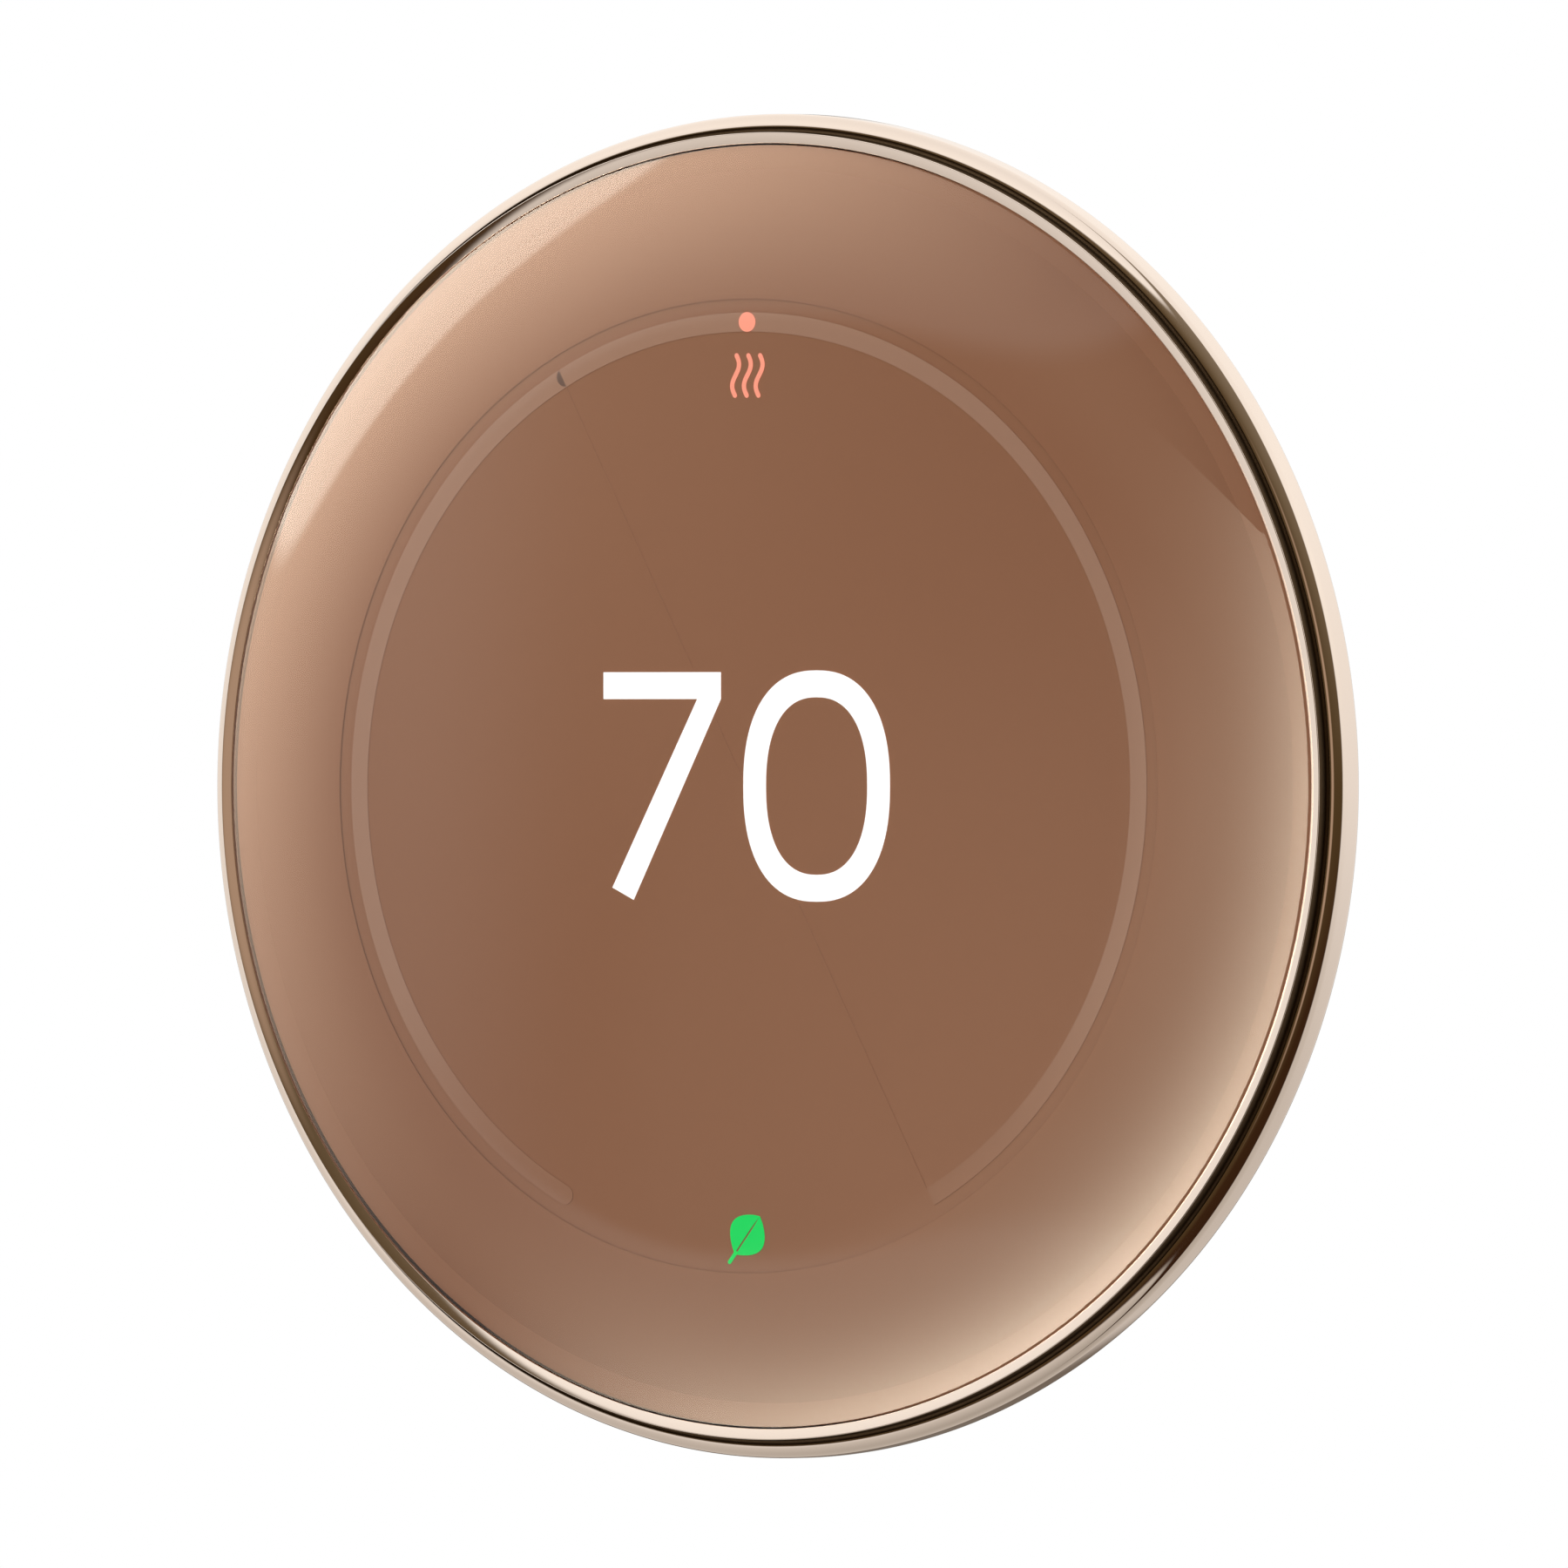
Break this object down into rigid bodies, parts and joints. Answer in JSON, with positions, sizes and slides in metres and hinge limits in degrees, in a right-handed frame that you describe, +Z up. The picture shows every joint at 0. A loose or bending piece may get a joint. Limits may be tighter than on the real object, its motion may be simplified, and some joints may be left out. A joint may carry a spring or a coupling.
{
  "type": "wall thermostat",
  "caption": "Round wall thermostat with a domed mirror-tinted lens, a polished ring that turns, a face that presses in and a wall base with sprung wire terminals.",
  "frame": {"origin": "centre of the two wall screw holes, on the back face of the base, which is the wall's surface", "axes": "+Y into the wall, -Y towards the person, +Z up, +X to the right as the person sees it"},
  "size_m": [0.098, 0.027, 0.098],
  "materials": {
    "base_plastic": "fine matte moulding",
    "base_board": "solder mask over glass-fibre board",
    "screw_steel": "plain zinc-plated",
    "terminal_plastic": "satin moulding",
    "clamp_metal": "plain",
    "vial_clear": "clear acrylic",
    "level_liquid": "clear tinted liquid",
    "connector_plastic": "satin moulding",
    "spring_steel": "bright",
    "housing_plastic": "fine matte moulding",
    "main_board": "solder mask over glass-fibre board",
    "chip_plastic": "moulded chip packages",
    "shield_metal": "bright tin plate",
    "battery_foil": "foil pouch",
    "lead_insulation": "smooth",
    "pin_gold": "gold plated",
    "sounder_brass": "plain with a white ceramic disc",
    "sensor_board": "solder mask over glass-fibre board",
    "flex_film": "polyimide film",
    "carrier_plastic": "glass-filled moulding",
    "tray_metal": "plain stamped",
    "backlight_plastic": "white diffuser",
    "display_glass": "dark display glass that shows a dial arc, a number, three heat waves and a leaf",
    "gasket_foam": "thin adhesive foam",
    "lens_glass": "mirror tint, warm brown, polished",
    "ring_metal": "polished champagne gold",
    "strip_film": "printed code bars",
    "plunger_plastic": "satin",
    "tab_plastic": "satin moulding",
    "roller_plastic": "acetal"
  },
  "bodies": {
    "base": {"base_plate": "base_plastic", "base_board": "base_board", "base_screws": "screw_steel", "terminal_block_left": "terminal_plastic", "terminal_block_right": "terminal_plastic", "terminal_clamps": "clamp_metal", "level_holder": "terminal_plastic", "level_vial": "vial_clear", "level_liquid": "level_liquid", "base_socket": "connector_plastic", "retention_clips": "spring_steel"},
    "head": {"rear_housing": "housing_plastic", "main_board": "main_board", "board_screws": "screw_steel", "board_chips": "chip_plastic", "shield_cans": "shield_metal", "battery": "battery_foil", "battery_lead": "lead_insulation", "head_plug": "connector_plastic", "plug_pins": "pin_gold", "push_switch": "shield_metal", "sounder": "sounder_brass", "temperature_sensor": "sensor_board", "return_springs": "spring_steel", "display_flex": "flex_film"},
    "front": {"bearing_carrier": "carrier_plastic", "retainer_plate": "spring_steel", "retainer_screws": "screw_steel", "shoulder_screws": "screw_steel", "roller_pins": "screw_steel", "encoder_sensor": "chip_plastic", "presence_sensor": "sensor_board", "light_sensor": "sensor_board", "display_tray": "tray_metal", "backlight": "backlight_plastic", "display_panel": "display_glass", "lens_gasket": "gasket_foam", "lens": "lens_glass"},
    "dial": {"dial_ring": "ring_metal", "encoder_strip": "strip_film"},
    "plunger": {"switch_plunger": "plunger_plastic"},
    "tab_1": {"terminal_tab_1": "tab_plastic"},
    "tab_2": {"terminal_tab_2": "tab_plastic"},
    "tab_3": {"terminal_tab_3": "tab_plastic"},
    "tab_4": {"terminal_tab_4": "tab_plastic"},
    "tab_5": {"terminal_tab_5": "tab_plastic"},
    "tab_6": {"terminal_tab_6": "tab_plastic"},
    "tab_7": {"terminal_tab_7": "tab_plastic"},
    "tab_8": {"terminal_tab_8": "tab_plastic"},
    "tab_9": {"terminal_tab_9": "tab_plastic"},
    "tab_10": {"terminal_tab_10": "tab_plastic"},
    "tab_11": {"terminal_tab_11": "tab_plastic"},
    "tab_12": {"terminal_tab_12": "tab_plastic"},
    "roller_1": {"guide_roller_1": "roller_plastic"},
    "roller_2": {"guide_roller_2": "roller_plastic"},
    "roller_3": {"guide_roller_3": "roller_plastic"},
    "roller_4": {"guide_roller_4": "roller_plastic"},
    "roller_5": {"guide_roller_5": "roller_plastic"},
    "roller_6": {"guide_roller_6": "roller_plastic"}
  },
  "joints": [
    {"name": "head_release", "type": "slide", "parent": "base", "child": "head", "axis": [0, -1, 0], "range_m": [0, 0.035]},
    {"name": "front_press", "type": "slide", "parent": "head", "child": "front", "axis": [0, 1, 0], "range_m": [0, 0.0005], "stiffness_N_per_m": 4000, "springref_m": -0.0008, "deforming": ["return_springs", "display_flex"]},
    {"name": "plunger_press", "type": "slide", "parent": "head", "child": "plunger", "axis": [0, 1, 0], "range_m": [0, 0.0005]},
    {"name": "dial_turn", "type": "hinge", "parent": "front", "child": "dial", "pos_m": [0, -0.0188, 0], "axis": [0, -1, 0], "continuous": true},
    {"name": "roller_spin_1", "type": "hinge", "parent": "front", "child": "roller_1", "pos_m": [0.03704, -0.0188, 0.02139], "axis": [0, -1, 0], "continuous": true},
    {"name": "roller_spin_2", "type": "hinge", "parent": "front", "child": "roller_2", "pos_m": [0, -0.0188, 0.04277], "axis": [0, -1, 0], "continuous": true},
    {"name": "roller_spin_3", "type": "hinge", "parent": "front", "child": "roller_3", "pos_m": [-0.03704, -0.0188, 0.02139], "axis": [0, -1, 0], "continuous": true},
    {"name": "roller_spin_4", "type": "hinge", "parent": "front", "child": "roller_4", "pos_m": [-0.03704, -0.0188, -0.02139], "axis": [0, -1, 0], "continuous": true},
    {"name": "roller_spin_5", "type": "hinge", "parent": "front", "child": "roller_5", "pos_m": [0, -0.0188, -0.04277], "axis": [0, -1, 0], "continuous": true},
    {"name": "roller_spin_6", "type": "hinge", "parent": "front", "child": "roller_6", "pos_m": [0.03704, -0.0188, -0.02139], "axis": [0, -1, 0], "continuous": true},
    {"name": "tab_press_1", "type": "slide", "parent": "base", "child": "tab_1", "axis": [0, 1, 0], "range_m": [0, 0.001], "stiffness_N_per_m": 300, "springref_m": -0.0005},
    {"name": "tab_press_2", "type": "slide", "parent": "base", "child": "tab_2", "axis": [0, 1, 0], "range_m": [0, 0.001], "stiffness_N_per_m": 300, "springref_m": -0.0005},
    {"name": "tab_press_3", "type": "slide", "parent": "base", "child": "tab_3", "axis": [0, 1, 0], "range_m": [0, 0.001], "stiffness_N_per_m": 300, "springref_m": -0.0005},
    {"name": "tab_press_4", "type": "slide", "parent": "base", "child": "tab_4", "axis": [0, 1, 0], "range_m": [0, 0.001], "stiffness_N_per_m": 300, "springref_m": -0.0005},
    {"name": "tab_press_5", "type": "slide", "parent": "base", "child": "tab_5", "axis": [0, 1, 0], "range_m": [0, 0.001], "stiffness_N_per_m": 300, "springref_m": -0.0005},
    {"name": "tab_press_6", "type": "slide", "parent": "base", "child": "tab_6", "axis": [0, 1, 0], "range_m": [0, 0.001], "stiffness_N_per_m": 300, "springref_m": -0.0005},
    {"name": "tab_press_7", "type": "slide", "parent": "base", "child": "tab_7", "axis": [0, 1, 0], "range_m": [0, 0.001], "stiffness_N_per_m": 300, "springref_m": -0.0005},
    {"name": "tab_press_8", "type": "slide", "parent": "base", "child": "tab_8", "axis": [0, 1, 0], "range_m": [0, 0.001], "stiffness_N_per_m": 300, "springref_m": -0.0005},
    {"name": "tab_press_9", "type": "slide", "parent": "base", "child": "tab_9", "axis": [0, 1, 0], "range_m": [0, 0.001], "stiffness_N_per_m": 300, "springref_m": -0.0005},
    {"name": "tab_press_10", "type": "slide", "parent": "base", "child": "tab_10", "axis": [0, 1, 0], "range_m": [0, 0.001], "stiffness_N_per_m": 300, "springref_m": -0.0005},
    {"name": "tab_press_11", "type": "slide", "parent": "base", "child": "tab_11", "axis": [0, 1, 0], "range_m": [0, 0.001], "stiffness_N_per_m": 300, "springref_m": -0.0005},
    {"name": "tab_press_12", "type": "slide", "parent": "base", "child": "tab_12", "axis": [0, 1, 0], "range_m": [0, 0.001], "stiffness_N_per_m": 300, "springref_m": -0.0005}
  ],
  "couplings": [
    {"joint": "plunger_press", "follows": "front_press", "ratio": 1},
    {"joint": "roller_spin_1", "follows": "dial_turn", "ratio": 20.455},
    {"joint": "roller_spin_2", "follows": "dial_turn", "ratio": 20.455},
    {"joint": "roller_spin_3", "follows": "dial_turn", "ratio": 20.455},
    {"joint": "roller_spin_4", "follows": "dial_turn", "ratio": 20.455},
    {"joint": "roller_spin_5", "follows": "dial_turn", "ratio": 20.455},
    {"joint": "roller_spin_6", "follows": "dial_turn", "ratio": 20.455}
  ]
}
